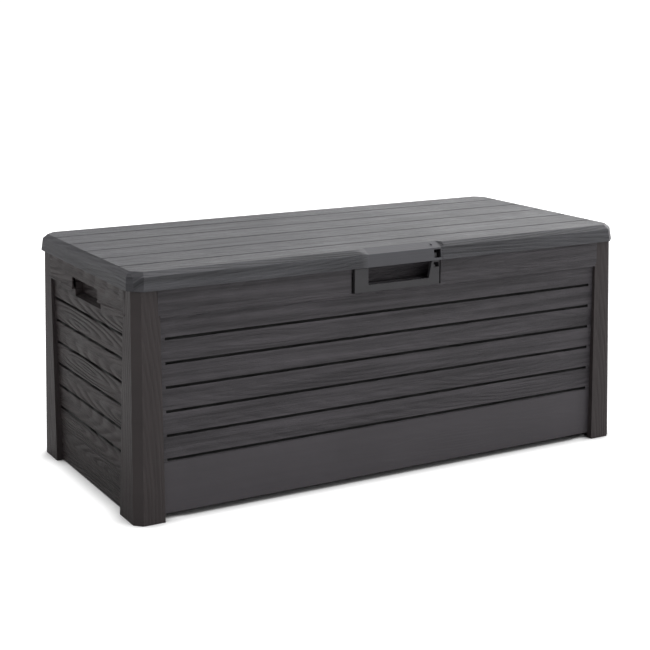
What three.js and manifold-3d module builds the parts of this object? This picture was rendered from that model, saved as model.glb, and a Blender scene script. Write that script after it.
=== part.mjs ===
// Outdoor storage box in moulded resin with a wood-plank look, as an assembly of its separate pieces.
// Millimetres, +Z up. X runs along the box, -Y is the front, the origin is the middle of the base.
import * as THREE from 'three';
import { mergeVertices } from 'three/addons/utils/BufferGeometryUtils.js';
import Module from 'manifold-3d';

const wasm = await Module();
wasm.setup();

// ---------- driving dimensions ----------
const GAP = 0.3; // clearance between pieces that touch

const lid = {
  halfLength: 725,
  halfDepth: 335,
  skirtBottom: 565,
  skirtTop: 598,
  top: 609,
  skirtDraftEnd: 3.5,
  skirtDraftSide: 5,
  bevelEnd: 11.5,
  bevelSide: 15,
  cornerCut: 32,
  topCornerCut: 24,
  wall: 3.6,
  plankPitch: 113,
  grooves: 5,
  grooveWidth: 5,
  grooveDepth: 2.6,
  ribBottom: 587,
  ribWall: 3,
  ribXs: [-600, -340, -110, 110, 340, 600],
  ribYs: [-210, -70, 70, 210],
  ribHalfY: 318,
  crossRibRise: 3, // the ribs along X stop this much higher than the ones along Y
  grooveDraft: 0.8, // how far each side of a groove leans
  backing: { halfX: 605, half: 7, drop: 1.4 }, // strip under each groove
};

// The smooth grip above the finger pocket, where the lid's front bevel is cut wider.
const grip = {
  left: -127, // the cut fades in from here
  fullLeft: -86,
  fullRight: 131,
  right: 143, // and has faded out here
  topY: 302,
  foldY: 330.6,
  foldZ: 597,
  pad: 4,
};

const body = {
  rimTop: 585, // top of the walls, hidden behind the lid's skirt
  halfLength: 715, // over the corner posts, just under the lid
  halfDepth: 325,
  flare: 10, // how far each post face leans out from the lid's edge to the ground
  postCut: 19.5,
  fieldX: 708, // outer plane of the slats on the ends
  fieldY: 318, // outer plane of the slats on the front and back
  bandProud: 8,
  beadProud: 1.5,
  wall: 3.2,
  ledge: 497, // bottom of the plain band above the slats
  panelBottom: 15, // lower edge of the front and back walls
  endBottom: 3, // lower edge of the end walls
  grooveTop: 447.5,
  groovePitch: 59.2,
  grooves: 6,
  grooveDepth: 5.5,
  grooveHalfX: 636, // half length of a front groove
  grooveDraft: 4, // how far the lower lip of a groove slopes
  ribWall: 3,
  ribDepth: 18,
  ribRise: 30, // the upright ribs end this far above the ledge
  ribXs: [-540, -360, -180, 180, 360, 540],
  endRibYs: [-150, 150],
  root: 2, // depth at which ribs, shelves and pads start inside a wall
  bulge: { foot: 11, from: 7, to: 3, head: 6 }, // the bulge behind a groove, below and above its lip
  flangeRise: 34, // top of the long walls' flange above the ledge
  endFlangeRise: 46,
  flangeRoot: 5,
  shelfWall: 4,
  shelf: { half: 600, depth: 30 },
  endShelf: { half: 240, depth: 28 },
};

const post = {
  innerX: 650, // inner edge on the front, below the band
  bandInnerX: 655,
  innerYTop: 263, // inner edge on the end, at the rim
  innerYFoot: 230,
  slotDepth: 16,
  slotFront: 316.3,
  slotBack: 303.7,
  back: 299,
  sideX: 702,
  web: 4, // wall between the slot and the storage space
  rimCut: 1009, // x + y along the cut corner, where the post stands inside the lid
};

const handHole = { halfWidth: 90, bottom: 478, top: 529, depth: 29, floorRise: 9, wall: 4 };

const pocket = {
  halfWidth: 134,
  bottom: 501,
  floor: 519,
  lipY: 309,
  backY: 289,
  wall: 4,
};

const handle = {
  halfWidth: 127,
  bottom: 501.3,
  barTop: 519.3,
  top: 563.5,
  front: 331,
  back: 321,
  tabTop: 583,
  tabFront: 325.5,
  flangeTop: 543,
  flangeY: 311, // back face of the side flanges, deep in the gap beside the pull
  screwX: 116,
  screwZ: 511,
  leftArm: -87, // inner edge of the left arm
  rightArmFoot: 94, // the right arm's inner edge leans from here
  rightArmTop: 103, // to here
  tabs: [[-124, -90], [106, 121]],
  slot: { x0: 109, x1: 125, z0: 547, z1: 559.5 },
  lug: { x1: 115, z1: 552.5 },
};

const lockHole = { x0: 109, x1: 130, z0: 571, z1: 593 };

const hinge = {
  xs: [-450, 0, 450],
  y: 330,
  z: 566,
  knuckle: 4.8,
  bore: 2.5,
  pin: 2.2,
  halfWidth: 28,
  fingerHalf: 9.5,
  leafBottom: 520,
  leafTop: 561,
  leafFace: 326.3,
  leafThickness: 3,
  notchHalf: 36,
  notchBottom: 555,
  screwX: 16,
  leafScrewZ: 540,
  armInner: 266,
  armRise: 316,
  armBottom: 590,
  armTop: 594,
  lidScrewY: 284,
  fingerThickness: 3.2, // half the thickness of the arm's finger
  armWall: 4,
  boss: { y0: 309, y1: 324, z0: 532, z1: 550 }, // block behind each leaf that its screws bite into
  pinProud: 0.5,
  pinHead: { radius: 4, rim: 2, crown: 2.6 },
};

const strut = {
  x: 670,
  footY: 60,
  footZ: 400,
  headY: 250,
  headZ: 575,
  tubeRadius: 8,
  rodRadius: 3,
  eyeRadius: 8,
  eyeHalf: 5,
  studRadius: 3.5,
  tubeStart: 14,
  tubeLength: 190,
  plateZ: 596, // underside of the head bracket's plate
  screwPitch: 16, // from the stud to each screw
  plate: 3,
  padFace: 16, // from the strut's line out to the pad on the end wall
  footPad: { halfY: 16, halfZ: 26 },
  footPlate: { halfY: 12, halfZ: 23 },
  headPad: { inner: 32, outer: 22, halfY: 24 },
  headPlate: { inner: 26, outer: 12, halfY: 22 },
  headTabHalf: 9,
  headScrewIn: 14,
  neckRadius: 4.6,
  neckRoot: 6, // each neck starts this far from its pivot
  rodEnd: 11, // the rod stops this far short of the head pivot
};

const screw = { shank: 1.9, hole: 2.2, head: 4.2, headHeight: 2.2 };

const floor = { bottom: 19, top: 22.6, halfX: 689.5, halfY: 299.5 };

// ---------- finishes ----------
const resin = { color: 0x3f3d3e, roughness: 0.62, metalness: 0 };
const lidResin = { color: 0x5a595c, roughness: 0.58, metalness: 0 };
const handleResin = { color: 0x454448, roughness: 0.5, metalness: 0 };
const zinc = { color: 0x9a9c9e, roughness: 0.38, metalness: 1 };
const tubePaint = { color: 0x16171a, roughness: 0.35, metalness: 0.2 };
const chrome = { color: 0xc9ccce, roughness: 0.12, metalness: 1 };
const nylon = { color: 0x1d1d1f, roughness: 0.55, metalness: 0 };

// ---------- helpers ----------
function toSolid(geometry) {
  const bare = geometry.clone();
  bare.deleteAttribute('normal');
  bare.deleteAttribute('uv');
  const merged = mergeVertices(bare, 1e-4);
  return new wasm.Manifold(new wasm.Mesh({
    numProp: 3,
    vertProperties: Float32Array.from(merged.attributes.position.array),
    triVerts: Uint32Array.from(merged.index.array),
  }));
}

function toGeometry(solid) {
  const mesh = solid.getMesh();
  const geometry = new THREE.BufferGeometry();
  geometry.setAttribute('position', new THREE.BufferAttribute(new Float32Array(mesh.vertProperties), 3));
  geometry.setIndex(new THREE.BufferAttribute(new Uint32Array(mesh.triVerts), 1));
  geometry.computeVertexNormals();
  return geometry;
}

function span(a, b) {
  return a < b ? [a, b] : [b, a];
}

// A box between two opposite corners, given in any order.
function block(xa, xb, ya, yb, za, zb) {
  const [x0, x1] = span(xa, xb);
  const [y0, y1] = span(ya, yb);
  const [z0, z1] = span(za, zb);
  const geometry = new THREE.BoxGeometry(x1 - x0, y1 - y0, z1 - z0);
  geometry.translate((x0 + x1) / 2, (y0 + y1) / 2, (z0 + z1) / 2);
  return toSolid(geometry);
}

const AXES = {
  x: [new THREE.Vector3(0, 1, 0), new THREE.Vector3(0, 0, 1), new THREE.Vector3(1, 0, 0)],
  y: [new THREE.Vector3(1, 0, 0), new THREE.Vector3(0, 0, 1), new THREE.Vector3(0, -1, 0)],
  z: [new THREE.Vector3(1, 0, 0), new THREE.Vector3(0, 1, 0), new THREE.Vector3(0, 0, 1)],
};

function prismGeometry(axis, points, from, to) {
  const [start, end] = span(from, to);
  const shape = new THREE.Shape(points.map(([a, b]) => new THREE.Vector2(a, b)));
  const geometry = new THREE.ExtrudeGeometry(shape, { depth: end - start, bevelEnabled: false });
  const turn = new THREE.Matrix4().makeBasis(...AXES[axis]);
  geometry.applyMatrix4(turn);
  const shift = axis === 'y' ? [0, end, 0] : [axis === 'x' ? start : 0, 0, axis === 'z' ? start : 0];
  geometry.translate(...shift);
  return geometry;
}

// An outline swept along an axis: (y, z) along x, (x, z) along y, (x, y) along z.
function prism(axis, points, from, to) {
  return toSolid(prismGeometry(axis, points, from, to));
}

// A prism whose outline changes evenly from one end to the other.
function loft(axis, startPoints, endPoints, from, to) {
  const geometry = prismGeometry(axis, endPoints, from, to);
  const [across, upward, along] = AXES[axis];
  const forward = axis === 'y' ? along.clone().negate() : along;
  const place = geometry.attributes.position;
  const spot = new THREE.Vector3();
  for (let i = 0; i < place.count; i += 1) {
    spot.fromBufferAttribute(place, i);
    if (Math.abs(spot.dot(forward) - from) < 1e-3) {
      const [a, b] = [spot.dot(across), spot.dot(upward)];
      const match = endPoints.findIndex(([x, y]) => Math.hypot(x - a, y - b) < 1e-3);
      const [x, y] = startPoints[match];
      spot.copy(across).multiplyScalar(x).addScaledVector(upward, y).addScaledVector(forward, from);
      place.setXYZ(i, spot.x, spot.y, spot.z);
    }
  }
  return toSolid(geometry);
}

// A round bar along an axis, through a centre given by its two other coordinates.
function bar(axis, centre, radius, from, to, sides = 16) {
  const [start, end] = span(from, to);
  const geometry = new THREE.CylinderGeometry(radius, radius, end - start, sides);
  if (axis === 'x') geometry.rotateZ(-Math.PI / 2);
  if (axis === 'z') geometry.rotateX(Math.PI / 2);
  const middle = (start + end) / 2;
  const [a, b] = centre;
  const shift = { x: [middle, a, b], y: [a, middle, b], z: [a, b, middle] }[axis];
  geometry.translate(...shift);
  return toSolid(geometry);
}

function octagon(halfX, halfY, cut) {
  return [
    [-halfX, -halfY + cut], [-halfX + cut, -halfY], [halfX - cut, -halfY], [halfX, -halfY + cut],
    [halfX, halfY - cut], [halfX - cut, halfY], [-halfX + cut, halfY], [-halfX, halfY - cut],
  ];
}

const box = new THREE.Group();

function addPiece(name, solid, finish) {
  const geometry = solid.isBufferGeometry ? solid : toGeometry(solid);
  const mesh = new THREE.Mesh(geometry, new THREE.MeshStandardMaterial(finish));
  mesh.name = name;
  box.add(mesh);
}

// ---------- walls ----------
function grooveHeights() {
  return Array.from({ length: body.grooves }, (_, k) => body.grooveTop - k * body.groovePitch);
}

// Cross-section of a slatted wall as (depth, height), before its grooves are cut. Depth is measured inwards
// from the slats' outer plane, and the wall bulges inwards behind each groove.
function wallSection(bottom) {
  const { wall, grooveDepth, ledge, rimTop, bulge } = body;
  const behind = grooveDepth + wall - 0.6;
  const band = -body.bandProud;
  const bead = band - body.beadProud;
  const outer = [
    [0, bottom], [0, ledge], [bead, ledge], [bead, ledge + 3], [band, ledge + 6], [band, rimTop],
  ];
  const inner = [[wall, bottom]];
  for (const z of grooveHeights().reverse()) {
    inner.push([wall, z - bulge.foot], [behind, z - bulge.from]);
    inner.push([behind, z + bulge.to], [wall, z + bulge.head]);
  }
  inner.push([wall, ledge - 4], [band + wall, ledge + 8], [band + wall, rimTop]);
  return [...outer, ...inner.reverse()];
}

// The bodies that are cut out of a wall for its grooves: a flat upper lip over a sloping lower one.
function grooveCutters(axis, place, half) {
  const depth = body.grooveDepth;
  return grooveHeights().map((z) => {
    const lower = z - 2 * body.grooveDraft;
    const outline = [[-1, lower], [0, lower], [depth, z - body.grooveDraft], [depth, z], [-1, z]];
    return prism(axis, place(outline), -half, half);
  });
}

// The front and back walls: slats between two plain margins, an edge tongue that slides into each post,
// a stiffening flange under the rim, upright ribs and a shelf that carries the floor.
function longWall(side) {
  const at = (depth) => side * (body.fieldY - depth);
  const place = (points) => points.map(([depth, z]) => [at(depth), z]);
  const { panelBottom, rimTop, ledge, ribDepth, root, shelf } = body;
  const edge = post.innerX - GAP;
  const bandInner = body.wall - body.bandProud;
  let wall = prism('x', place(wallSection(panelBottom)), -edge, edge);
  for (const s of [-1, 1]) {
    const bandEnd = post.bandInnerX - GAP;
    const band = block(s * (edge - 10), s * bandEnd, at(bandInner), at(-body.bandProud), ledge + 6, rimTop);
    wall = wall.add(band);
    const tongueEnd = post.innerX + post.slotDepth - GAP;
    const tongueFront = side * (post.slotFront - GAP);
    const tongueBack = side * (post.slotBack + GAP);
    wall = wall.add(block(s * (edge - 10), s * tongueEnd, tongueFront, tongueBack, panelBottom, rimTop));
  }
  const t = body.ribWall / 2;
  for (const x of body.ribXs) {
    wall = wall.add(block(x - t, x + t, at(root), at(ribDepth), panelBottom, ledge + body.ribRise));
  }
  const flangeTop = ledge + body.flangeRise;
  const flangeBottom = flangeTop - body.shelfWall;
  wall = wall.add(block(-edge + 10, edge - 10, at(-body.flangeRoot), at(ribDepth), flangeBottom, flangeTop));
  const shelfTop = floor.bottom - GAP;
  const shelfBottom = shelfTop - body.shelfWall;
  wall = wall.add(block(-shelf.half, shelf.half, at(root), at(shelf.depth), shelfBottom, shelfTop));
  const cutters = grooveCutters('x', place, body.grooveHalfX);
  return cutters.reduce((solid, cutter) => solid.subtract(cutter), wall);
}

function frontPanel() {
  const y = (depth) => -(body.fieldY - depth);
  const w = pocket.halfWidth;
  const t = pocket.wall;
  const outside = y(-20);
  let panel = longWall(-1);
  panel = panel.subtract(block(-w, w, outside, y(12), pocket.bottom, body.rimTop + 1));
  const shell = prism('x', [
    [-(body.fieldY + body.bandProud - body.wall), pocket.bottom - t],
    [-pocket.backY + t, pocket.bottom - t], [-pocket.backY + t, body.rimTop],
    [-(body.fieldY + body.bandProud - body.wall), body.rimTop],
  ], -w - t, w + t);
  const room = prism('x', [
    [outside, pocket.bottom], [-pocket.lipY, pocket.bottom], [-pocket.lipY, pocket.floor],
    [-pocket.backY, pocket.floor], [-pocket.backY, body.rimTop + 1], [outside, body.rimTop + 1],
  ], -w, w);
  panel = panel.add(shell).subtract(room);
  for (const x of [-handle.screwX, handle.screwX]) {
    panel = panel.subtract(bar('y', [x, handle.screwZ], screw.hole, -312, -280, 10));
  }
  return panel;
}

function rearPanel() {
  const { boss } = hinge;
  let panel = longWall(1);
  for (const x of hinge.xs) {
    const half = hinge.halfWidth;
    panel = panel.add(block(x - half, x + half, boss.y0, boss.y1, boss.z0, boss.z1));
    panel = panel.subtract(block(x - hinge.notchHalf, x + hinge.notchHalf, 290, 340, hinge.notchBottom, 600));
    for (const s of [-1, 1]) {
      panel = panel.subtract(bar('y', [x + s * hinge.screwX, hinge.leafScrewZ], screw.hole, 305, 340, 10));
    }
  }
  return panel;
}

// One corner post in plan, from its edge on the end face round the cut corner to its edge on the long face,
// then back round the slot that holds the long wall's tongue.
function postOutline(sx, sy, lean, innerY) {
  const x = body.halfLength + lean;
  const y = body.halfDepth + lean;
  const slotEnd = post.innerX + post.slotDepth;
  return [
    [x, innerY], [x, y - body.postCut], [x - body.postCut, y], [post.innerX, y],
    [post.innerX, post.slotFront], [slotEnd, post.slotFront], [slotEnd, post.slotBack],
    [post.innerX + post.web, post.slotBack], [post.innerX + post.web, post.back], [post.sideX, post.back],
    [post.sideX, innerY],
  ].map(([px, py]) => [sx * px, sy * py]);
}

function endPanel(side) {
  const at = (depth) => side * (body.fieldX - depth);
  const place = (points) => points.map(([depth, z]) => [at(depth), z]);
  const { endBottom, ribDepth, ledge, root, endShelf } = body;
  const reach = post.innerYTop + 6;
  const t = body.ribWall / 2;
  let panel = prism('y', place(wallSection(endBottom)), -reach, reach);
  for (const y of body.endRibYs) {
    panel = panel.add(block(at(root), at(ribDepth), y - t, y + t, endBottom, ledge + body.ribRise));
  }
  const flangeTop = ledge + body.endFlangeRise;
  const flangeBottom = flangeTop - body.shelfWall;
  const half = endShelf.half;
  panel = panel.add(block(at(-body.flangeRoot), at(ribDepth), -half, half, flangeBottom, flangeTop));
  const shelfTop = floor.bottom - GAP;
  panel = panel.add(block(at(root), at(endShelf.depth), -half, half, shelfTop - body.shelfWall, shelfTop));
  const { footY, footZ, footPad } = strut;
  panel = panel.add(block(at(root), side * (strut.x + strut.padFace), footY - footPad.halfY,
    footY + footPad.halfY, footZ - footPad.halfZ, footZ + footPad.halfZ));
  panel = grooveCutters('y', place, reach).reduce((solid, cutter) => solid.subtract(cutter), panel);

  for (const sy of [-1, 1]) {
    const foot = postOutline(side, sy, body.flare, post.innerYFoot);
    const rimLean = -body.flare * (body.rimTop - lid.skirtBottom) / lid.skirtBottom;
    const rim = postOutline(side, sy, rimLean, post.innerYTop);
    panel = panel.add(loft('z', foot, rim, 0, body.rimTop));
    const edge = block(side * (post.innerX - 1), side * post.bandInnerX, sy * 316, sy * 340, ledge + 6, 600);
    panel = panel.subtract(edge);
    const cut = post.rimCut;
    const corner = [[730, 340], [730, cut - 730], [cut - 340, 340]].map(([x, y]) => [side * x, sy * y]);
    panel = panel.subtract(prism('z', corner, lid.skirtBottom - 2, body.rimTop + 1));
  }

  const w = handHole.wall;
  const back = body.fieldX + body.bandProud - handHole.depth;
  panel = panel.add(block(at(root), side * (back - w), -handHole.halfWidth - w, handHole.halfWidth + w,
    handHole.bottom - w, handHole.top + w));
  const outside = body.fieldX + 30;
  const scoop = [
    [side * outside, handHole.bottom - 1], [side * body.fieldX, handHole.bottom],
    [side * back, handHole.bottom + handHole.floorRise], [side * back, handHole.top],
    [side * outside, handHole.top],
  ];
  panel = panel.subtract(prism('y', scoop, -handHole.halfWidth, handHole.halfWidth));
  for (const dz of [-strut.screwPitch, strut.screwPitch]) {
    const hole = bar('x', [footY, footZ + dz], screw.hole, side * (strut.x + 12), side * (strut.x + 30), 10);
    panel = panel.subtract(hole);
  }
  return panel;
}

// ---------- lid ----------
function lidShell() {
  const skirtX = lid.halfLength - lid.skirtDraftEnd;
  const skirtY = lid.halfDepth - lid.skirtDraftSide;
  const topX = skirtX - lid.bevelEnd;
  const topY = skirtY - lid.bevelSide;
  const w = lid.wall;
  const { backing } = lid;
  const edge = octagon(lid.halfLength, lid.halfDepth, lid.cornerCut);
  const fold = octagon(skirtX, skirtY, lid.cornerCut);
  const deck = octagon(topX, topY, lid.topCornerCut);
  let shell = loft('z', edge, fold, lid.skirtBottom, lid.skirtTop);
  shell = shell.add(loft('z', fold, deck, lid.skirtTop, lid.top));

  const innerEdge = octagon(lid.halfLength - w + 0.1, lid.halfDepth - w + 0.1, lid.cornerCut - 2);
  const innerFold = octagon(skirtX - w, skirtY - w, lid.cornerCut - 2);
  const innerDeck = octagon(topX - w + 1, topY - w + 1, lid.topCornerCut - 1);
  shell = shell.subtract(loft('z', innerEdge, innerFold, lid.skirtBottom - 1, lid.skirtTop - 2));
  shell = shell.subtract(loft('z', innerFold, innerDeck, lid.skirtTop - 2.01, lid.top - w));

  for (let k = 0; k < lid.grooves; k += 1) {
    const y = (k - (lid.grooves - 1) / 2) * lid.plankPitch;
    const half = lid.grooveWidth / 2;
    const notch = [
      [y - half - lid.grooveDraft, lid.top + 1], [y - half, lid.top - lid.grooveDepth],
      [y + half, lid.top - lid.grooveDepth], [y + half + lid.grooveDraft, lid.top + 1],
    ];
    const under = lid.top - w;
    const strip = block(-backing.halfX, backing.halfX, y - backing.half, y + backing.half,
      under - backing.drop, under + 0.5);
    shell = shell.add(strip).subtract(prism('x', notch, -lid.halfLength, lid.halfLength));
  }
  return shell;
}

// Thickens the lid from inside behind the grip, then cuts the wider bevel, which fades out at both ends.
function cutGrip(shell) {
  const { topY, foldY, foldZ, pad } = grip;
  const padFront = -foldY + 3;
  const padBack = -topY + 4;
  const padOutline = [
    [padFront, foldZ + 2], [padBack - 20, lid.top - 3], [padBack, lid.top - 0.5],
    [padBack, lid.top - pad], [padFront, foldZ - pad],
  ];
  const above = lid.top + 10;
  const outside = -lid.halfDepth - 5;
  const fullCut = [[-topY, lid.top], [-foldY, foldZ], [outside, foldZ], [outside, above], [-topY, above]];
  const plainFold = -lid.halfDepth + lid.skirtDraftSide;
  const plainTop = plainFold + lid.bevelSide;
  const lift = 0.4; // the cut starts just clear of the plain bevel
  const faded = [
    [plainTop, lid.top + lift], [plainFold, lid.skirtTop + lift], [outside, lid.skirtTop + lift],
    [outside, above], [plainTop, above],
  ];
  return shell
    .add(prism('x', padOutline, grip.left, grip.right))
    .subtract(loft('x', faded, fullCut, grip.left, grip.fullLeft))
    .subtract(prism('x', fullCut, grip.fullLeft, grip.fullRight))
    .subtract(loft('x', fullCut, faded, grip.fullRight, grip.right));
}

function lidPiece() {
  let piece = cutGrip(lidShell());
  const ribTop = lid.top - lid.wall + 0.5;
  const t = lid.ribWall / 2;
  for (const x of lid.ribXs) {
    piece = piece.add(block(x - t, x + t, -lid.ribHalfY, lid.ribHalfY, lid.ribBottom, ribTop));
  }
  const ribEnd = lid.ribXs.at(-1);
  for (const y of lid.ribYs) {
    piece = piece.add(block(-ribEnd, ribEnd, y - t, y + t, lid.ribBottom + lid.crossRibRise, ribTop));
  }
  for (const x of hinge.xs) {
    for (const s of [-1, 1]) {
      const centre = [x + s * hinge.screwX, hinge.lidScrewY];
      piece = piece.add(bar('z', centre, 5, hinge.armTop + GAP, ribTop, 12));
      piece = piece.subtract(bar('z', centre, screw.hole, hinge.armTop - 1, lid.top - 5.5, 10));
    }
    const [from, to] = [x - hinge.notchHalf, x + hinge.notchHalf];
    piece = piece.subtract(block(from, to, 320, 340, lid.skirtBottom - 1, body.rimTop));
  }
  for (const s of [-1, 1]) {
    const { headPad, headY } = strut;
    const [near, far] = [strut.x - headPad.inner, strut.x + headPad.outer];
    const seat = strut.plateZ + strut.plate + GAP;
    piece = piece.add(block(s * near, s * far, headY - headPad.halfY, headY + headPad.halfY, seat, ribTop));
    for (const dy of [-strut.screwPitch, strut.screwPitch]) {
      const centre = [s * (strut.x - strut.headScrewIn), headY + dy];
      piece = piece.subtract(bar('z', centre, screw.hole, seat - 1, lid.top - 4.2, 10));
    }
  }
  return piece.subtract(block(lockHole.x0, lockHole.x1, -345, -322, lockHole.z0, lockHole.z1));
}

// ---------- front pull ----------
function pullFrame() {
  const h = handle;
  let frame = prism('y', [
    [-h.halfWidth, h.bottom], [h.halfWidth, h.bottom], [h.halfWidth, h.top], [h.rightArmTop, h.top],
    [h.rightArmFoot, h.barTop], [h.leftArm, h.barTop], [h.leftArm, h.top], [-h.halfWidth, h.top],
  ], -h.front, -h.back);
  const behind = -h.back - 0.5;
  for (const s of [-1, 1]) {
    const inner = s * (h.screwX - 6);
    const edge = s * (pocket.halfWidth - GAP);
    frame = frame.add(block(inner, s * h.halfWidth, behind, -h.flangeY, h.bottom, h.flangeTop));
    frame = frame.add(block(inner, edge, -h.flangeY - 4, -h.flangeY, h.bottom, h.flangeTop));
    frame = frame.add(bar('y', [s * h.screwX, h.screwZ], 5, behind, -pocket.lipY - GAP, 12));
    frame = frame.subtract(bar('y', [s * h.screwX, h.screwZ], screw.hole, -h.back - 1, -pocket.lipY + 9, 10));
  }
  for (const [x0, x1] of h.tabs) {
    frame = frame.add(block(x0, x1, -h.tabFront, -h.back, h.top - 4, h.tabTop));
  }
  const { slot, lug } = h;
  const hole = block(slot.x0, slot.x1, -h.front - 1, -h.back + 1, slot.z0, slot.z1);
  return frame.subtract(hole).add(block(slot.x0 - 1, lug.x1, -h.front + 2, -h.back, slot.z0 - 1, lug.z1));
}

// ---------- floor ----------
function floorPanel() {
  const f = floor;
  const notchX = post.innerX - 6;
  const notchY = post.back - 16;
  const plan = [
    [-f.halfX, -notchY], [-notchX, -notchY], [-notchX, -f.halfY], [notchX, -f.halfY],
    [notchX, -notchY], [f.halfX, -notchY], [f.halfX, notchY], [notchX, notchY],
    [notchX, f.halfY], [-notchX, f.halfY], [-notchX, notchY], [-f.halfX, notchY],
  ];
  return prism('z', plan, f.bottom, f.top);
}

// ---------- hinges ----------
function hingeLeaf(x) {
  const back = hinge.leafFace + hinge.leafThickness;
  const centre = [hinge.y, hinge.z];
  const w = hinge.halfWidth;
  let leaf = block(x - w, x + w, hinge.leafFace, back, hinge.leafBottom, hinge.leafTop);
  for (const s of [-1, 1]) {
    const inner = x + s * (hinge.fingerHalf + GAP + 0.2);
    const outer = x + s * w;
    leaf = leaf.add(bar('x', centre, hinge.knuckle, inner, outer, 14));
    leaf = leaf.add(block(inner, outer, hinge.leafFace, back, hinge.leafTop - 1, hinge.z));
    leaf = leaf.subtract(bar('y', [x + s * hinge.screwX, hinge.leafScrewZ], screw.hole, 320, 340, 10));
  }
  return leaf.subtract(bar('x', centre, hinge.bore, x - 40, x + 40, 14));
}

function hingeArm(x) {
  const centre = [hinge.y, hinge.z];
  const f = hinge.fingerHalf;
  const rise = hinge.armRise;
  let arm = bar('x', centre, hinge.knuckle, x - f, x + f, 14);
  const outerRise = rise + hinge.armWall;
  const [under, over] = [hinge.z - hinge.fingerThickness, hinge.z + hinge.fingerThickness];
  arm = arm.add(block(x - f, x + f, rise, hinge.y, under, over));
  arm = arm.add(block(x - f, x + f, rise, outerRise, under, hinge.armTop));
  const half = hinge.halfWidth;
  arm = arm.add(block(x - half, x + half, hinge.armInner, outerRise, hinge.armBottom, hinge.armTop));
  for (const s of [-1, 1]) {
    const hole = bar('z', [x + s * hinge.screwX, hinge.lidScrewY], screw.hole, 580, 600, 10);
    arm = arm.subtract(hole);
  }
  return arm.subtract(bar('x', centre, hinge.bore, x - 40, x + 40, 14));
}

function hingePin(x) {
  const half = hinge.halfWidth;
  const end = half + hinge.pinProud;
  const { radius, rim, crown } = hinge.pinHead;
  const profile = [
    [0, -end], [hinge.pin, -end], [hinge.pin, end], [radius, end], [radius, half + rim], [0, half + crown],
  ];
  const geometry = new THREE.LatheGeometry(profile.map(([r, h]) => new THREE.Vector2(r, h)), 12);
  geometry.rotateZ(-Math.PI / 2);
  geometry.translate(x, hinge.y, hinge.z);
  return toSolid(geometry);
}

// A pan-head screw. Its head's seat is at the given point, and its shank runs from there along the direction.
function screwAt(point, direction, length = 11) {
  const r = screw.head;
  const h = screw.headHeight;
  const profile = [
    [0, -length], [screw.shank, -length + 2.5], [screw.shank, 0], [r, 0], [r, h * 0.5], [r * 0.7, h], [0, h],
  ];
  const geometry = new THREE.LatheGeometry(profile.map(([a, b]) => new THREE.Vector2(a, b)), 8);
  const up = new THREE.Vector3(...direction).negate();
  const turn = new THREE.Quaternion().setFromUnitVectors(new THREE.Vector3(0, 1, 0), up);
  geometry.applyQuaternion(turn);
  geometry.translate(...point);
  return toSolid(geometry);
}

// ---------- gas struts ----------
const strutDirection = new THREE.Vector2(strut.headY - strut.footY, strut.headZ - strut.footZ);
const strutLength = strutDirection.length();
strutDirection.normalize();

// Turns a profile of (radius, distance from the foot pivot) about the strut's own line.
function alongStrut(side, profile, sides) {
  const geometry = new THREE.LatheGeometry(profile.map(([r, h]) => new THREE.Vector2(r, h)), sides);
  geometry.rotateX(Math.PI / 2);
  geometry.rotateX(Math.atan2(strutDirection.y, strutDirection.x) - Math.PI / 2);
  geometry.translate(side * strut.x, strut.footY, strut.footZ);
  return toSolid(geometry);
}

function strutTube(side) {
  const end = strut.tubeStart + strut.tubeLength;
  const bore = strut.rodRadius + 0.4;
  return alongStrut(side, [
    [0, strut.tubeStart], [strut.tubeRadius, strut.tubeStart], [strut.tubeRadius, end - 3],
    [strut.tubeRadius - 2, end], [bore, end], [bore, strut.tubeStart + 20], [0, strut.tubeStart + 20],
  ], 20);
}

function strutRod(side) {
  const head = strutLength - strut.rodEnd;
  return alongStrut(side, [
    [0, strut.tubeStart + 22], [strut.rodRadius, strut.tubeStart + 22], [strut.rodRadius, head], [0, head],
  ], 14);
}

// An end fitting: a round eye on the pivot with a neck towards the strut.
function eyeFitting(side, y, z, neckFrom, neckTo) {
  const r = strut.neckRadius;
  const x0 = side * (strut.x - strut.eyeHalf);
  const x1 = side * (strut.x + strut.eyeHalf);
  const neck = alongStrut(side, [[0, neckFrom], [r, neckFrom], [r, neckTo], [0, neckTo]], 12);
  const eye = bar('x', [y, z], strut.eyeRadius, x0, x1, 16).add(neck);
  return eye.subtract(bar('x', [y, z], strut.studRadius + GAP, x0 - side * 9, x1 + side * 9, 14));
}

function footBracket(side) {
  const { footY, footZ, studRadius, footPlate } = strut;
  const face = strut.x + strut.padFace - GAP;
  const plate = block(side * face, side * (face - strut.plate), footY - footPlate.halfY,
    footY + footPlate.halfY, footZ - footPlate.halfZ, footZ + footPlate.halfZ);
  let bracket = plate.add(bar('x', [footY, footZ], studRadius, side * (face - 1), side * (strut.x - 7), 16));
  for (const dz of [-strut.screwPitch, strut.screwPitch]) {
    const hole = bar('x', [footY, footZ + dz], screw.hole, side * (face - 9), side * (face + 9), 10);
    bracket = bracket.subtract(hole);
  }
  return bracket;
}

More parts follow.
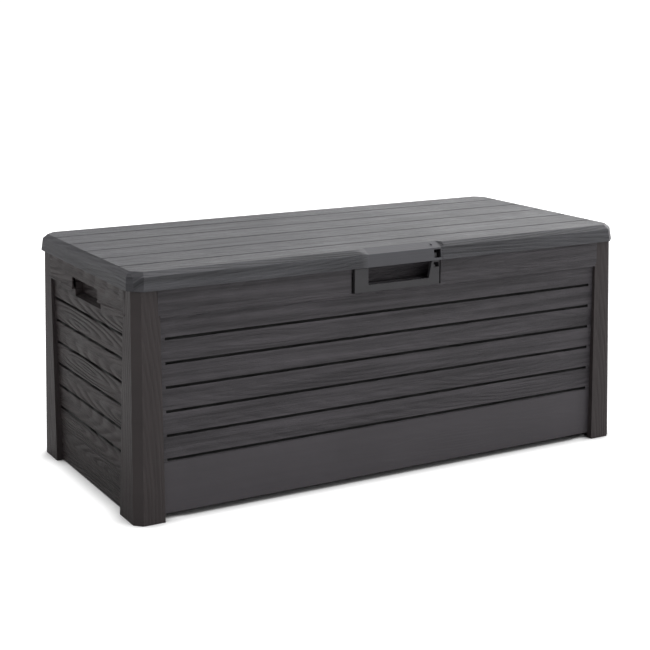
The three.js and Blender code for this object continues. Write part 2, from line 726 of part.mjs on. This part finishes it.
function headBracket(side) {
  const { headY, headZ, plateZ, plate, headPlate, headTabHalf } = strut;
  const { inner, outer, halfY } = headPlate;
  const tab = side * (strut.x + outer);
  const top = plateZ + plate;
  let bracket = block(side * (strut.x - inner), tab, headY - halfY, headY + halfY, plateZ, top);
  const tabFoot = headZ - headTabHalf;
  const [near, far] = [headY - headTabHalf, headY + headTabHalf];
  bracket = bracket.add(block(tab, tab - side * plate, near, far, tabFoot, top));
  const studEnd = side * (strut.x + strut.eyeHalf + 0.5);
  bracket = bracket.add(bar('x', [headY, headZ], strut.studRadius, tab, studEnd, 16));
  for (const dy of [-strut.screwPitch, strut.screwPitch]) {
    const centre = [side * (strut.x - strut.headScrewIn), headY + dy];
    bracket = bracket.subtract(bar('z', centre, screw.hole, plateZ - 6, plateZ + 6, 10));
  }
  return bracket;
}

// ---------- assembly ----------
addPiece('floor_panel', floorPanel(), resin);
addPiece('front_panel', frontPanel(), resin);
addPiece('rear_panel', rearPanel(), resin);
addPiece('left_end_panel', endPanel(-1), resin);
addPiece('right_end_panel', endPanel(1), resin);
addPiece('lid', lidPiece(), lidResin);
addPiece('front_pull', pullFrame(), handleResin);

for (const [side, label] of [[-1, 'left'], [1, 'right']]) {
  const seat = [side * handle.screwX, -pocket.backY + pocket.wall + GAP, handle.screwZ];
  addPiece(`pull_screw_${label}`, screwAt(seat, [0, -1, 0], 32), zinc);
}

hinge.xs.forEach((x, i) => {
  const label = ['left', 'middle', 'right'][i];
  addPiece(`hinge_leaf_${label}`, hingeLeaf(x), zinc);
  addPiece(`hinge_arm_${label}`, hingeArm(x), zinc);
  addPiece(`hinge_pin_${label}`, hingePin(x), zinc);
  [-1, 1].forEach((s, n) => {
    const outerFace = hinge.leafFace + hinge.leafThickness + GAP;
    const leafSeat = [x + s * hinge.screwX, outerFace, hinge.leafScrewZ];
    addPiece(`hinge_leaf_screw_${label}_${n + 1}`, screwAt(leafSeat, [0, -1, 0]), zinc);
    const armSeat = [x + s * hinge.screwX, hinge.lidScrewY, hinge.armBottom - GAP];
    addPiece(`hinge_arm_screw_${label}_${n + 1}`, screwAt(armSeat, [0, 0, 1]), zinc);
  });
});

for (const [side, label] of [[-1, 'left'], [1, 'right']]) {
  addPiece(`strut_foot_bracket_${label}`, footBracket(side), zinc);
  addPiece(`strut_head_bracket_${label}`, headBracket(side), zinc);
  addPiece(`strut_tube_${label}`, strutTube(side), tubePaint);
  addPiece(`strut_rod_${label}`, strutRod(side), chrome);
  const footEye = eyeFitting(side, strut.footY, strut.footZ, strut.neckRoot, strut.tubeStart - GAP);
  addPiece(`strut_foot_eye_${label}`, footEye, nylon);
  const neckStart = strutLength - strut.rodEnd + GAP;
  const headEye = eyeFitting(side, strut.headY, strut.headZ, neckStart, strutLength - strut.neckRoot);
  addPiece(`strut_head_eye_${label}`, headEye, nylon);
  [-strut.screwPitch, strut.screwPitch].forEach((d, n) => {
    const plateFace = strut.x + strut.padFace - strut.plate;
    const footSeat = [side * (plateFace - 2 * GAP), strut.footY, strut.footZ + d];
    addPiece(`strut_foot_screw_${label}_${n + 1}`, screwAt(footSeat, [side, 0, 0]), zinc);
    const headSeat = [side * (strut.x - strut.headScrewIn), strut.headY + d, strut.plateZ - GAP];
    addPiece(`strut_head_screw_${label}_${n + 1}`, screwAt(headSeat, [0, 0, 1], 8), zinc);
  });
}

export default box;
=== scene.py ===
# %% [markdown]
# # A resin storage box for the garden
# The real thing is a box of moulded panels that look like oak planks, with a hinged lid held up by two gas
# struts. Its shapes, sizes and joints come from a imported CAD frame. This lesson gives those shapes soft
# edges, wood grain and light. Loading the frame first means that nothing has to be fitted by eye.

import math

import bpy
from mathutils import Matrix, Vector

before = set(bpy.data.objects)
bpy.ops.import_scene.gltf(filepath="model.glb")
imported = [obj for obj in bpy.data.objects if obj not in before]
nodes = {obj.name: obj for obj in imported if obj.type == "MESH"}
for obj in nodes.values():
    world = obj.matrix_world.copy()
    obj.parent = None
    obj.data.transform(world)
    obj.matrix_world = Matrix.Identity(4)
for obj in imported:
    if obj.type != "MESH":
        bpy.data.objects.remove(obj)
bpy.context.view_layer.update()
print("pieces in the frame:", len(nodes))

# %% [markdown]
# ## The camera
# A longish lens stands about four metres from the box, a little above the lid, and looks at the front and
# the left end. The lens is shifted instead of tilted further, so upright edges stay nearly parallel, as in
# a studio picture.

# %% Place the camera
LENS_TURN = math.radians(30.3)
LENS_TILT = math.radians(-10.0)
LENS_ROLL = math.radians(0.2)
LENS_PLACE = (-1.9129, -3.3622, 1.2585)
LENS_LENGTH = 79.45  # millimetres
SENSOR_WIDTH = 36
LENS_SHIFT = (-0.0385, -0.1308)
ahead = Vector((
    math.sin(LENS_TURN) * math.cos(LENS_TILT),
    math.cos(LENS_TURN) * math.cos(LENS_TILT),
    math.sin(LENS_TILT),
))
level_right = Vector((math.cos(LENS_TURN), -math.sin(LENS_TURN), 0))
level_up = level_right.cross(ahead)
lens_right = level_right * math.cos(LENS_ROLL) + level_up * math.sin(LENS_ROLL)
lens_up = level_up * math.cos(LENS_ROLL) - level_right * math.sin(LENS_ROLL)

lens = bpy.data.cameras.new("studio_lens")
lens.lens = LENS_LENGTH
lens.sensor_width = SENSOR_WIDTH
lens.shift_x, lens.shift_y = LENS_SHIFT
camera = bpy.data.objects.new("studio_camera", lens)
camera.matrix_world = Matrix.Translation(LENS_PLACE) @ Matrix((
    lens_right, lens_up, -ahead
)).transposed().to_4x4()
bpy.context.scene.collection.objects.link(camera)
bpy.context.scene.camera = camera
print("camera to box centre:", round(camera.location.length, 2), "m")

# %% [markdown]
# ## The studio
# The box stands on a plain pale floor under soft light. Dark plastic shows its surroundings more than its
# own colour, so most of the look is in where the surround is bright. It is brightest overhead and behind
# the box to the right, which makes the lid paler than the walls. It is dim at the front left, which leaves
# the cut corners darker.

# %% Floor
def flat_sheet(name, half, height):
    """One square face that lies level."""
    mesh = bpy.data.meshes.new(name)
    corners = [(-half, -half, height), (half, -half, height), (half, half, height), (-half, half, height)]
    mesh.from_pydata(corners, [], [(0, 1, 2, 3)])
    sheet = bpy.data.objects.new(name, mesh)
    bpy.context.scene.collection.objects.link(sheet)
    return sheet


FLOOR_HALF = 60.0
FLOOR_DROP = 0.0005  # keeps the floor just clear of the feet
floor_sheet = flat_sheet("studio_floor", FLOOR_HALF, -FLOOR_DROP)
print("floor:", floor_sheet.name)

# %% [markdown]
# ## A surround made of soft glows
# The world's shader gets a direction. A dot product says how close that direction is to the middle of a
# glow, and a power makes the glow narrow or wide. Four glows stand for four large softboxes, and no lamp
# shape shows in the plastic. The camera itself sees plain white behind the box.

# %% The surround
GLOWS = (
    # direction, strength, tightness
    ((0.14, 0.02, 0.98), 1.75, 5.0),
    ((0.88, 0.44, 0.18), 2.85, 5.2),
    ((-0.35, 0.93, 0.15), 0.38, 5.0),
    ((0.80, -0.55, 0.22), 1.05, 3.4),
)
SURROUND_BASE = 0.085
BACKDROP = 1.1  # what the camera sees behind the box


def build_surround():
    world = bpy.data.worlds.new("studio_surround")
    world.use_nodes = True
    tree = world.node_tree
    back = tree.nodes["Background"]
    way = tree.nodes.new("ShaderNodeTexCoord").outputs["Generated"]
    total = None
    for direction, strength, tightness in GLOWS:
        near = tree.nodes.new("ShaderNodeVectorMath")
        near.operation = "DOT_PRODUCT"
        tree.links.new(way, near.inputs[0])
        near.inputs[1].default_value = Vector(direction).normalized()
        facing = tree.nodes.new("ShaderNodeMath")
        facing.operation = "MAXIMUM"
        tree.links.new(near.outputs["Value"], facing.inputs[0])
        facing.inputs[1].default_value = 0.0
        glow = tree.nodes.new("ShaderNodeMath")
        glow.operation = "POWER"
        tree.links.new(facing.outputs[0], glow.inputs[0])
        glow.inputs[1].default_value = tightness
        scaled = tree.nodes.new("ShaderNodeMath")
        scaled.operation = "MULTIPLY_ADD"
        tree.links.new(glow.outputs[0], scaled.inputs[0])
        scaled.inputs[1].default_value = strength
        if total is None:
            scaled.inputs[2].default_value = SURROUND_BASE
        else:
            tree.links.new(total, scaled.inputs[2])
        total = scaled.outputs[0]
    seen = tree.nodes.new("ShaderNodeLightPath").outputs["Is Camera Ray"]
    choose = tree.nodes.new("ShaderNodeMix")
    tree.links.new(seen, choose.inputs[0])
    tree.links.new(total, choose.inputs[2])
    choose.inputs[3].default_value = BACKDROP
    tree.links.new(choose.outputs[0], back.inputs["Strength"])
    back.inputs["Color"].default_value = (1, 1, 1, 1)
    return world


bpy.context.scene.world = build_surround()
bpy.context.scene.view_settings.view_transform = "Standard"
print("glows in the surround:", len(GLOWS))

# %% [markdown]
# ## Tools for shader nodes
# A node group is a small machine with named inputs and outputs. Building the wood grain once as a group
# lets the walls, the posts and the lid share it, each with its own plank size and strength.

# %% Short helpers for node trees
def feed(tree, source, target):
    """Links a socket to an input, or sets the input when the source is a plain value."""
    if isinstance(source, bpy.types.NodeSocket):
        tree.links.new(source, target)
    else:
        target.default_value = source


def calc(tree, operation, *values):
    """A Math node."""
    node = tree.nodes.new("ShaderNodeMath")
    node.operation = operation
    for target, value in zip(node.inputs, values):
        feed(tree, value, target)
    return node.outputs[0]


def ramp_between(tree, value, from_low, from_high, to_low=0.0, to_high=1.0):
    """A Map Range node that clamps."""
    node = tree.nodes.new("ShaderNodeMapRange")
    for target, item in zip(node.inputs, (value, from_low, from_high, to_low, to_high)):
        feed(tree, item, target)
    return node.outputs[0]


def vector_of(tree, x, y, z):
    node = tree.nodes.new("ShaderNodeCombineXYZ")
    for target, value in zip(node.inputs, (x, y, z)):
        feed(tree, value, target)
    return node.outputs[0]


def cloud(tree, place, scale, detail=2.0, roughness=0.5):
    """A Noise texture's value."""
    node = tree.nodes.new("ShaderNodeTexNoise")
    feed(tree, place, node.inputs["Vector"])
    node.inputs["Scale"].default_value = scale
    node.inputs["Detail"].default_value = detail
    node.inputs["Roughness"].default_value = roughness
    return node.outputs[0]


def tint_between(tree, share, low, high):
    """A colour between two others."""
    node = tree.nodes.new("ShaderNodeMix")
    node.data_type = "RGBA"
    feed(tree, share, node.inputs[0])
    node.inputs[6].default_value = (*low, 1)
    node.inputs[7].default_value = (*high, 1)
    return node.outputs[2]


def new_group(name, takes, gives):
    """An empty node group with named inputs and outputs."""
    group = bpy.data.node_groups.new(name, "ShaderNodeTree")
    kind = "NodeSocketFloat"
    for label, value in takes.items():
        socket = group.interface.new_socket(name=label, in_out="INPUT", socket_type=kind)
        socket.default_value = value
    for label in gives:
        group.interface.new_socket(name=label, in_out="OUTPUT", socket_type=kind)
    return group, group.nodes.new("NodeGroupInput").outputs, group.nodes.new("NodeGroupOutput").inputs


def place_group(tree, group, **values):
    node = tree.nodes.new("ShaderNodeGroup")
    node.node_tree = group
    for label, value in values.items():
        feed(tree, value, node.inputs[label.replace("_", " ")])
    return node.outputs


# %% [markdown]
# ## Embossed oak grain
# The mould was cut from real planks, so each slat has its own growth rings, stretched along the slat, with
# fine fibres between them. A Wave texture gives the rings. The position along the slat is squeezed before
# it is used, which pulls round rings into long pointed arches, and a random number for each plank moves the
# arches along.

# %% The grain group
# How many times each pattern repeats in a metre, along the slat and across it.
SWAY_STRETCH = (2.6, 9.0)
FIBRE_STRETCH = (9.0, 330.0)
PORE_STRETCH = (45.0, 1100.0)
STREAK_STRETCH = (2.2, 60.0)
ARCH_SQUEEZE = 0.11
SWAY = 0.03
SHIFT_ALONG, SHIFT_ACROSS = 0.5, 0.016


def build_grain():
    group, takes, gives = new_group(
        "oak_grain",
        {"Along": 0, "Across": 0, "Pitch": 0.06, "Start": 0, "Rings": 0.5, "Seed": 0},
        ["Height", "Tone"],
    )
    along, across, pitch = takes["Along"], takes["Across"], takes["Pitch"]
    steps = calc(group, "DIVIDE", calc(group, "SUBTRACT", across, takes["Start"]), pitch)
    plank = calc(group, "ADD", calc(group, "FLOOR", steps), takes["Seed"])
    middle = calc(group, "SUBTRACT", calc(group, "FRACT", steps), 0.5)
    local = calc(group, "MULTIPLY", middle, pitch)
    luck = group.nodes.new("ShaderNodeTexWhiteNoise")
    luck.noise_dimensions = "1D"
    group.links.new(plank, luck.inputs["W"])
    parts = group.nodes.new("ShaderNodeSeparateColor")
    group.links.new(luck.outputs["Color"], parts.inputs[0])
    shift_along = ramp_between(group, parts.outputs[0], 0, 1, -SHIFT_ALONG, SHIFT_ALONG)
    shift_across = ramp_between(group, parts.outputs[1], 0, 1, -SHIFT_ACROSS, SHIFT_ACROSS)

    def stretched(side, stretch):
        """The place on a plank, stretched along it."""
        far = calc(group, "MULTIPLY", along, stretch[0])
        wide = calc(group, "MULTIPLY", side, stretch[1])
        return vector_of(group, far, wide, plank)

    bend = cloud(group, stretched(local, SWAY_STRETCH), 1.0)
    sway = calc(group, "MULTIPLY", calc(group, "SUBTRACT", bend, 0.5), SWAY)
    rings = group.nodes.new("ShaderNodeTexWave")
    rings.wave_type = "RINGS"
    rings.rings_direction = "Z"
    rings.inputs["Scale"].default_value = 36
    rings.inputs["Distortion"].default_value = 1.6
    rings.inputs["Detail"].default_value = 2
    rings.inputs["Detail Scale"].default_value = 2.2
    group.links.new(vector_of(
        group,
        calc(group, "MULTIPLY", calc(group, "ADD", along, shift_along), ARCH_SQUEEZE),
        calc(group, "ADD", calc(group, "ADD", local, shift_across), sway),
        plank,
    ), rings.inputs["Vector"])
    arches = calc(group, "POWER", rings.outputs["Fac"], 0.7)
    fibres = cloud(group, stretched(across, FIBRE_STRETCH), 1.0, 4, 0.62)
    pores = cloud(group, stretched(across, PORE_STRETCH), 1.0, 2)
    fine = calc(group, "ADD", calc(group, "MULTIPLY", fibres, 0.75), calc(group, "MULTIPLY", pores, 0.25))
    share = takes["Rings"]
    fine_share = calc(group, "SUBTRACT", 1.0, calc(group, "MULTIPLY", share, 0.6))
    bold = calc(group, "MULTIPLY", arches, share)
    height = calc(group, "ADD", bold, calc(group, "MULTIPLY", fine, fine_share))
    group.links.new(height, gives["Height"])
    streaks = cloud(group, stretched(across, STREAK_STRETCH), 1.0, 3, 0.6)
    group.links.new(ramp_between(group, streaks, 0.32, 0.68), gives["Tone"])
    return group


oak_grain = build_grain()
print("grain group:", len(oak_grain.nodes), "nodes")

# %% [markdown]
# ## Worn edges
# Handling polishes the edges of moulded plastic first. The Bevel node looks at the surface a few
# millimetres round each point, and where its rounded normal leaves the true one there is an edge. A little
# noise breaks the line up.

# %% The edge wear group
def build_wear():
    group, takes, gives = new_group("edge_wear", {"Radius": 0.002, "Breakup": 60.0}, ["Mask"])
    rounded = group.nodes.new("ShaderNodeBevel")
    rounded.samples = 4
    group.links.new(takes["Radius"], rounded.inputs["Radius"])
    shape = group.nodes.new("ShaderNodeNewGeometry")
    likeness = group.nodes.new("ShaderNodeVectorMath")
    likeness.operation = "DOT_PRODUCT"
    group.links.new(rounded.outputs[0], likeness.inputs[0])
    group.links.new(shape.outputs["Normal"], likeness.inputs[1])
    bend = ramp_between(group, calc(group, "SUBTRACT", 1.0, likeness.outputs["Value"]), 0.01, 0.22)
    spot = group.nodes.new("ShaderNodeTexCoord").outputs["Object"]
    speckle = group.nodes.new("ShaderNodeTexNoise")
    group.links.new(spot, speckle.inputs["Vector"])
    group.links.new(takes["Breakup"], speckle.inputs["Scale"])
    gaps = ramp_between(group, speckle.outputs[0], 0.35, 0.65)
    group.links.new(calc(group, "MULTIPLY", bend, gaps), gives["Mask"])
    return group


edge_wear = build_wear()
print("wear group:", len(edge_wear.nodes), "nodes")

# %% [markdown]
# ## Painted shade in the grooves
# The slats are not separate boards. They are one panel with six grooves, and each groove is deep and in
# shade. That shade is painted: a mask finds the groove floors by height, and by depth behind the face of the
# slats, and there the colour turns near-black, which reads as a thin black line. The depth test keeps the
# painted shade off the inside of the wall.

# %% The groove group
GROOVE_TOP, GROOVE_PITCH, LOWEST_GROOVE = 0.4475, 0.0592, 0.1435
GROOVE_SHARE = 0.865  # going up, a groove fills each step from this share of it to its top


# A mask of the groove floors, which get painted shade.
def build_grooves():
    group, takes, gives = new_group("groove_shade", {"Up": 0, "Side": 0, "Face": 0}, ["Mask"])
    up = takes["Up"]
    step = calc(group, "FRACT", calc(group, "DIVIDE", calc(group, "SUBTRACT", up, GROOVE_TOP), GROOVE_PITCH))
    in_step = calc(group, "GREATER_THAN", step, GROOVE_SHARE)
    in_field = calc(group, "MULTIPLY", calc(group, "LESS_THAN", up, GROOVE_TOP), calc(
        group, "GREATER_THAN", up, LOWEST_GROOVE))
    depth = calc(group, "SUBTRACT", takes["Face"], calc(group, "ABSOLUTE", takes["Side"]))
    sunk = calc(group, "MULTIPLY", ramp_between(group, depth, 0.0004, 0.0018), calc(
        group, "LESS_THAN", depth, 0.006))
    group.links.new(calc(group, "MULTIPLY", calc(group, "MULTIPLY", in_step, in_field), sunk), gives["Mask"])
    return group


groove_shade = build_grooves()
print("groove group:", len(groove_shade.nodes), "nodes")

# %% [markdown]
# ## The wood-look resin
# All the walls and the lid are one kind of plastic: matt, nearly black, with a faint sheen. Four things
# change from piece to piece: the direction of the planks, their width, how bold the rings are, and a
# slight tint. One shared function dresses each material from those choices.

# %% Wood-look resin
def resin_tree(name):
    finish = bpy.data.materials.new(name)
    finish.use_nodes = True
    tree = finish.node_tree
    place = tree.nodes.new("ShaderNodeTexCoord").outputs["Object"]
    axes = tree.nodes.new("ShaderNodeSeparateXYZ")
    tree.links.new(place, axes.inputs[0])
    return finish, tree, tree.nodes["Principled BSDF"], axes.outputs, place


# Dark tone, pale tone, lowest and highest roughness, and the relief in metres.
LONG_RESIN = ((0.030, 0.0272, 0.0305), (0.122, 0.112, 0.124), (0.42, 0.56), 0.0034)
END_RESIN = ((0.022, 0.0178, 0.0180), (0.098, 0.0815, 0.0825), (0.42, 0.56), 0.0042)
LID_RESIN = ((0.031, 0.0308, 0.0345), (0.132, 0.1315, 0.145), (0.38, 0.52), 0.0034)
# Near-black painted shade for the floors of the grooves.
GROOVE_SHADE_TONE = (0.003, 0.003, 0.003, 1)
RESIN_SPECULAR = 0.36
WORN_GLOSS = 0.08
LONG_FACE, END_FACE = 0.318, 0.708  # outer plane of the slats, from the middle of the box
LID_TOP, LID_PLANK = 0.609, 0.113
POST_FOOT, POST_LEAN = 0.2295, 0.0564  # a post's inner edge on the end wall, and its lean per metre up
PLAIN_PLANK_TOP = LOWEST_GROOVE
LID_DECK_END = 0.7102  # past this the lid slopes down to its end skirts
# The grip strip along the lid's front edge has flatter grain and carries a painted highlight.
GRIP_LEFT, GRIP_RIGHT, GRIP_BACK = -0.086, 0.131, -0.3025
GRIP_FADE_LEFT, GRIP_FADE_RIGHT = 0.02, 0.006  # the smooth strip fades out over these lengths


def dress_resin(tree, shader, place, grain, resin, painted_shade=0.0):
    """Colour, roughness and relief from one grain, and painted shade in the grooves where a groove mask is
    given.
    """
    dark, pale, roughness, relief = resin
    wear = place_group(tree, edge_wear, Radius=0.0022)["Mask"]
    blotch = cloud(tree, place, 5.0, 3, 0.6)
    streaky = calc(tree, "MULTIPLY", grain["Tone"], 0.65)
    share = calc(tree, "ADD", streaky, calc(tree, "MULTIPLY", blotch, 0.35))
    lifted = calc(tree, "ADD", share, calc(tree, "MULTIPLY", wear, 0.5))
    # Painted shade: where the groove mask is 1, the colour turns near-black, standing in for the shade deep
    # in each groove.
    shaded_colour = tree.nodes.new("ShaderNodeMix")
    shaded_colour.data_type = "RGBA"
    feed(tree, painted_shade, shaded_colour.inputs[0])
    tree.links.new(tint_between(tree, lifted, dark, pale), shaded_colour.inputs[6])
    shaded_colour.inputs[7].default_value = GROOVE_SHADE_TONE
    tree.links.new(shaded_colour.outputs[2], shader.inputs["Base Color"])
    low, high = roughness
    rough = calc(tree, "SUBTRACT", ramp_between(tree, blotch, 0.25, 0.75, low, high), calc(
        tree, "MULTIPLY", wear, WORN_GLOSS))
    tree.links.new(rough, shader.inputs["Roughness"])
    bump = tree.nodes.new("ShaderNodeBump")
    bump.inputs["Strength"].default_value = 1.0
    bump.inputs["Distance"].default_value = relief
    tree.links.new(grain["Height"], bump.inputs["Height"])
    tree.links.new(bump.outputs[0], shader.inputs["Normal"])
    shader.inputs["Specular IOR Level"].default_value = RESIN_SPECULAR


def calmed(tree, grain, mask, tone):
    """The same grain, nearly flat and with one even tone where the mask is 1."""
    left = calc(tree, "SUBTRACT", 1.0, calc(tree, "MULTIPLY", mask, 0.9))
    height = calc(tree, "MULTIPLY", grain["Height"], left)
    even = calc(tree, "ADD", calc(tree, "MULTIPLY", grain["Tone"], left), calc(tree, "MULTIPLY", mask, tone))
    return {"Height": height, "Tone": even}


def long_wall_resin():
    """Level planks. The lowest one, below the last groove, was left almost smooth by the mould, and it also
    gets a pale even tone, which is painted light from the floor.
    """
    finish, tree, shader, (x, y, z), place = resin_tree("long_wall_resin")
    grain = place_group(tree, oak_grain, Along=x, Across=calc(tree, "ADD", z, y), Pitch=GROOVE_PITCH,
                        Start=GROOVE_TOP - LONG_FACE, Rings=0.35, Seed=3.0)
    # Painted light: below the last groove the grain is flattened, which is the smooth moulding, and the tone
    # is set pale, which stands in for light from the floor.
    smooth = ramp_between(tree, z, PLAIN_PLANK_TOP, PLAIN_PLANK_TOP - 0.002)
    grain = calmed(tree, grain, smooth, 0.75)
    # Painted shade in the grooves of the long walls.
    painted_shade = place_group(tree, groove_shade, Up=z, Side=y, Face=LONG_FACE)["Mask"]
    dress_resin(tree, shader, place, grain, LONG_RESIN, painted_shade)
    return finish


def end_wall_resin():
    """Level planks between two upright posts, which start 230 mm from the middle at the ground."""
    finish, tree, shader, (x, y, z), place = resin_tree("end_wall_resin")
    level = place_group(tree, oak_grain, Along=y, Across=z, Pitch=GROOVE_PITCH, Start=GROOVE_TOP,
                        Rings=0.8, Seed=17.0)
    upright = place_group(tree, oak_grain, Along=z, Across=calc(tree, "ADD", x, y), Pitch=0.2, Start=0.03,
                          Rings=0.3, Seed=41.0)
    upright = {
        "Height": calc(tree, "MULTIPLY", upright["Height"], 0.5),
        "Tone": ramp_between(tree, upright["Tone"], 0.0, 1.0, 0.3, 0.62),
    }
    post_edge = calc(tree, "ADD", calc(tree, "MULTIPLY", z, POST_LEAN), POST_FOOT)
    on_post = calc(tree, "GREATER_THAN", calc(tree, "ABSOLUTE", y), post_edge)
    off_post = calc(tree, "SUBTRACT", 1.0, on_post)
    # Painted shade in the grooves of the end walls, kept off the posts.
    in_grooves = place_group(tree, groove_shade, Up=z, Side=x, Face=END_FACE)["Mask"]
    painted_shade = calc(tree, "MULTIPLY", off_post, in_grooves)
    grain = {}
    for part in ("Height", "Tone"):
        pick = tree.nodes.new("ShaderNodeMix")
        feed(tree, on_post, pick.inputs[0])
        feed(tree, level[part], pick.inputs[2])
        feed(tree, upright[part], pick.inputs[3])
        grain[part] = pick.outputs[0]
    dress_resin(tree, shader, place, grain, END_RESIN, painted_shade)
    return finish


def lid_resin():
    """Planks along the lid. On the two end faces the grain turns and runs level, as on the walls. A strip
    along the front edge above the pull has flatter grain and a painted highlight.
    """
    finish, tree, shader, (x, y, z), place = resin_tree("lid_resin")
    on_end = calc(tree, "GREATER_THAN", calc(tree, "ABSOLUTE", x), LID_DECK_END)
    on_deck = calc(tree, "SUBTRACT", 1.0, on_end)
    along = calc(tree, "ADD", calc(tree, "MULTIPLY", x, on_deck), calc(tree, "MULTIPLY", y, on_end))
    across = calc(tree, "ADD", calc(tree, "MULTIPLY", y, on_deck), z)
    grain = place_group(tree, oak_grain, Along=along, Across=across, Pitch=LID_PLANK, Start=LID_TOP,
                        Rings=0.3, Seed=71.0)
    past_left = ramp_between(tree, x, GRIP_LEFT - GRIP_FADE_LEFT, GRIP_LEFT)
    before_right = ramp_between(tree, x, GRIP_RIGHT + GRIP_FADE_RIGHT, GRIP_RIGHT)
    beside = calc(tree, "MULTIPLY", past_left, before_right)
    on_grip = calc(tree, "MULTIPLY", beside, calc(tree, "LESS_THAN", y, GRIP_BACK))
    # Painted highlight: on the grip strip the grain is flattened, which is the smoother moulding there, and
    # the tone is set pale, which stands in for the light caught by the wider bevel.
    grain = calmed(tree, grain, on_grip, 0.9)
    dress_resin(tree, shader, place, grain, LID_RESIN)
    return finish


finishes = {"long_wall": long_wall_resin(), "end_wall": end_wall_resin(), "lid": lid_resin()}
print("wood-look finishes:", sorted(finishes))

# %% [markdown]
# ## Smooth plastic and metal
# The pull, the hinges and the struts have no wood grain. Each gets a quiet cloud of colour and roughness,
# tiny relief and worn edges, so none of them looks like one flat colour.

# %% Plain finishes
PLAIN_RELIEF = 0.00006
PLAIN_GRAIN = 90.0


def plain_finish(name, dark, pale, roughness, metal=0.0, coat=0.0):
    finish, tree, shader, _, place = resin_tree(name)
    wear = place_group(tree, edge_wear, Radius=0.0012, Breakup=120.0)["Mask"]
    blotch = cloud(tree, place, PLAIN_GRAIN * 0.3, 3, 0.6)
    speck = cloud(tree, place, PLAIN_GRAIN * 8, 2)
    lifted = calc(tree, "ADD", blotch, calc(tree, "MULTIPLY", wear, 0.4))
    tree.links.new(tint_between(tree, lifted, dark, pale), shader.inputs["Base Color"])
    low, high = roughness
    tree.links.new(ramp_between(tree, blotch, 0.3, 0.7, low, high), shader.inputs["Roughness"])
    shader.inputs["Metallic"].default_value = metal
    shader.inputs["Coat Weight"].default_value = coat
    bump = tree.nodes.new("ShaderNodeBump")
    bump.inputs["Distance"].default_value = PLAIN_RELIEF
    tree.links.new(speck, bump.inputs["Height"])
    tree.links.new(bump.outputs[0], shader.inputs["Normal"])
    return finish


finishes["pull"] = plain_finish("pull_resin", (0.048, 0.0465, 0.0505), (0.07, 0.068, 0.073), (0.4, 0.5))
finishes["zinc"] = plain_finish(
    "zinc_plate", (0.38, 0.385, 0.39), (0.62, 0.62, 0.61), (0.28, 0.48), metal=1.0)
finishes["tube"] = plain_finish(
    "tube_paint", (0.008, 0.008, 0.009), (0.016, 0.016, 0.018), (0.25, 0.36), coat=0.4)
finishes["rod"] = plain_finish("ground_chrome", (0.68, 0.69, 0.7), (0.8, 0.81, 0.82), (0.07, 0.14), metal=1.0)
finishes["eye"] = plain_finish("moulded_nylon", (0.012, 0.012, 0.014), (0.024, 0.024, 0.026), (0.45, 0.6))
print("finishes:", sorted(finishes))

# %% [markdown]
# ## Finish for every piece, and rounded edges
# A mould never leaves a sharp edge. The frame's meshes stay as they are, and three modifiers round them:
# Weld merges corners that lie on each other, Decimate joins the flat triangles, and Bevel rounds what is
# left of the edges. Its hardened normals keep the flats flat.

# %% Dress the frame's pieces
def finish_for(name):
    if name in ("front_panel", "rear_panel", "floor_panel"):
        return "long_wall"
    if name.endswith("end_panel"):
        return "end_wall"
    if name == "lid":
        return "lid"
    if name == "front_pull":
        return "pull"
    if name.startswith("strut_tube"):
        return "tube"
    if name.startswith("strut_rod"):
        return "rod"
    if "_eye_" in name:
        return "eye"
    return "zinc"


EDGE_ROUNDS = {"long_wall": 0.0009, "end_wall": 0.0011, "lid": 0.0013, "pull": 0.0012, "zinc": 0.0004,
               "tube": 0.0006, "rod": 0.0002, "eye": 0.0006}
WELD_REACH = 0.00002
FLAT_ANGLE = math.radians(0.3)
EDGE_ANGLE = math.radians(25)


def round_edges(piece, width):
    weld = piece.modifiers.new("weld", "WELD")
    weld.merge_threshold = WELD_REACH
    flats = piece.modifiers.new("flats", "DECIMATE")
    flats.decimate_type = "DISSOLVE"
    flats.angle_limit = FLAT_ANGLE
    bevel = piece.modifiers.new("round_edges", "BEVEL")
    bevel.width = width
    bevel.segments = 2
    bevel.limit_method = "ANGLE"
    bevel.angle_limit = EDGE_ANGLE
    bevel.harden_normals = True


for name, piece in nodes.items():
    kind = finish_for(name)
    piece.data.materials.clear()
    piece.data.materials.append(finishes[kind])
    round_edges(piece, EDGE_ROUNDS[kind])
print("dressed:", len(nodes))

# %% [markdown]
# ## The floor's finish
# The floor is pale and matt. For the camera it also glows, like a floor lit from below, so that only a thin
# dark line of shade ties the box to the ground. Ambient Occlusion turns the glow off close to the box and
# under it.

# %% Floor finish
SHADE_REACH = 0.06  # metres over which the box dims the floor
floor_finish = bpy.data.materials.new("pale_floor")
floor_finish.use_nodes = True
floor_tree = floor_finish.node_tree
floor_shader = floor_tree.nodes["Principled BSDF"]
floor_shader.inputs["Base Color"].default_value = (0.72, 0.72, 0.72, 1)
floor_shader.inputs["Roughness"].default_value = 0.9
floor_shader.inputs["Specular IOR Level"].default_value = 0.1
floor_shader.inputs["Emission Color"].default_value = (1, 1, 1, 1)
openness = floor_tree.nodes.new("ShaderNodeAmbientOcclusion")
openness.inputs["Distance"].default_value = SHADE_REACH
lit_from_below = ramp_between(floor_tree, openness.outputs["AO"], 0.35, 0.9, 0.0, 0.85)
camera_only = floor_tree.nodes.new("ShaderNodeLightPath").outputs["Is Camera Ray"]
floor_glow = calc(floor_tree, "MULTIPLY", lit_from_below, camera_only)
floor_tree.links.new(floor_glow, floor_shader.inputs["Emission Strength"])
floor_sheet.data.materials.append(floor_finish)
print("floor finish:", floor_finish.name)
